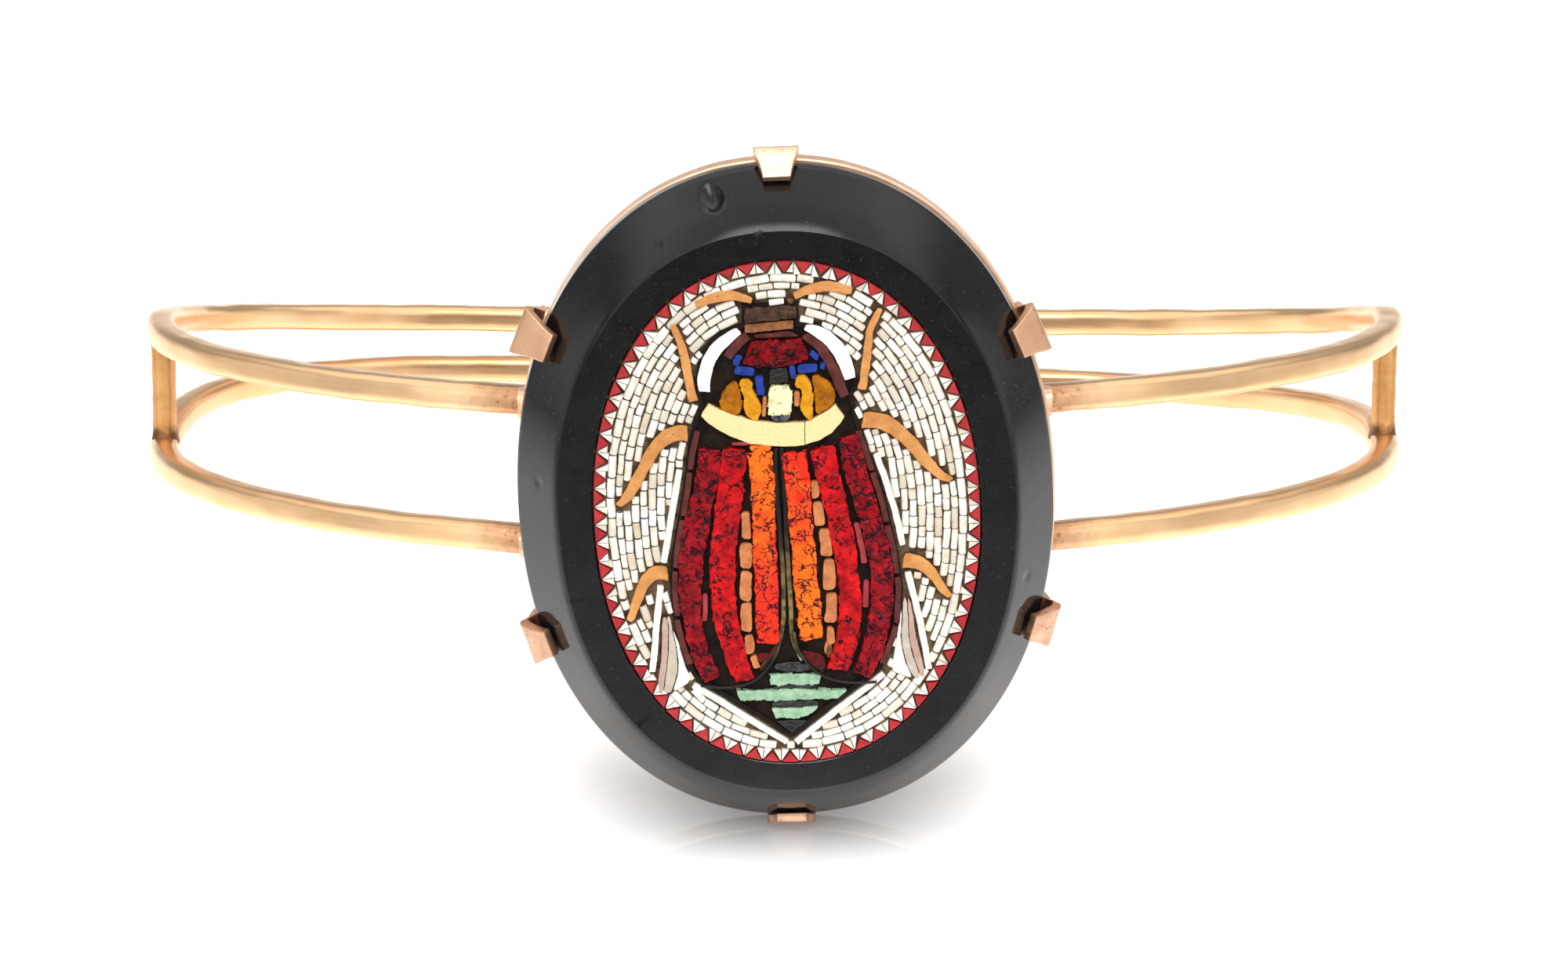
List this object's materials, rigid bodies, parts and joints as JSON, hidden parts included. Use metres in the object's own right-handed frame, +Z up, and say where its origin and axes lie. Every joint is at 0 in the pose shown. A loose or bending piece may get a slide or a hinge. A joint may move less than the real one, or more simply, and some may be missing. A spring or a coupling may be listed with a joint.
{
  "type": "scarab bracelet",
  "caption": "Gold bracelet of open wire hoops joined by side posts, with a claw-set oval plaque of black stone inlaid with a glass mosaic beetle",
  "frame": {"origin": "bottom centre of the bounding box, on the surface the bracelet rests on", "axes": "+X to the right of the plaque as it is looked at, +Y from the plaque to the back of the wrist, +Z up; the bracelet leans back on its lowest claw and lower back wire"},
  "size_m": [0.064, 0.0484, 0.0325],
  "materials": {
    "gold": "worn yellow gold, satin with fine scratches",
    "black_stone": "polished black stone",
    "putty": "dark matte putty",
    "white_glass": "opaque glass rods, satin",
    "red_glass": "opaque glass, satin",
    "tan_glass": "opaque glass, matte and pitted",
    "brown_glass": "opaque glass, matte",
    "crimson_glass": "opaque glass, glossy",
    "orange_glass": "opaque glass with fine dark cracks",
    "copper_glass": "opaque glass, satin",
    "amber_glass": "opaque glass, satin",
    "gold_glass": "gold leaf under glass, cracked",
    "black_glass": "opaque glass, satin",
    "green_glass": "opaque glass, satin",
    "blue_glass": "opaque glass, glossy",
    "shell_glass": "opaque glass, satin"
  },
  "bodies": {
    "root": {"black_block": "black_glass", "blue_chips": "blue_glass", "collar": "gold_glass", "copper_chips": "copper_glass", "dark_slivers": "crimson_glass", "gold_leaf": "gold_glass", "gold_mount": "gold", "head": "brown_glass", "head_band": "tan_glass", "left_amber": "amber_glass", "left_amber_core": "amber_glass", "left_antenna": "tan_glass", "left_beads": "copper_glass", "left_cheek": "white_glass", "left_edging": "brown_glass", "left_front_leg": "tan_glass", "left_gold_wing": "orange_glass", "left_hind_leg": "tan_glass", "left_inner_wing": "crimson_glass", "left_middle_leg": "tan_glass", "left_outer_wing": "crimson_glass", "left_seam": "black_glass", "left_shoulder": "brown_glass", "left_wing_tip": "shell_glass", "mosaic_bed": "putty", "neck": "brown_glass", "plaque": "black_stone", "red_border": "red_glass", "right_amber": "amber_glass", "right_amber_core": "amber_glass", "right_antenna": "tan_glass", "right_beads": "copper_glass", "right_cheek": "white_glass", "right_edging": "brown_glass", "right_front_leg": "tan_glass", "right_gold_wing": "orange_glass", "right_hind_leg": "tan_glass", "right_inner_wing": "crimson_glass", "right_middle_leg": "tan_glass", "right_outer_wing": "crimson_glass", "right_seam": "black_glass", "right_shoulder": "brown_glass", "right_wing_tip": "shell_glass", "shield": "crimson_glass", "tail_bars": "green_glass", "tail_tip": "black_glass", "white_ground": "white_glass", "white_rods": "white_glass"}
  },
  "joints": []
}
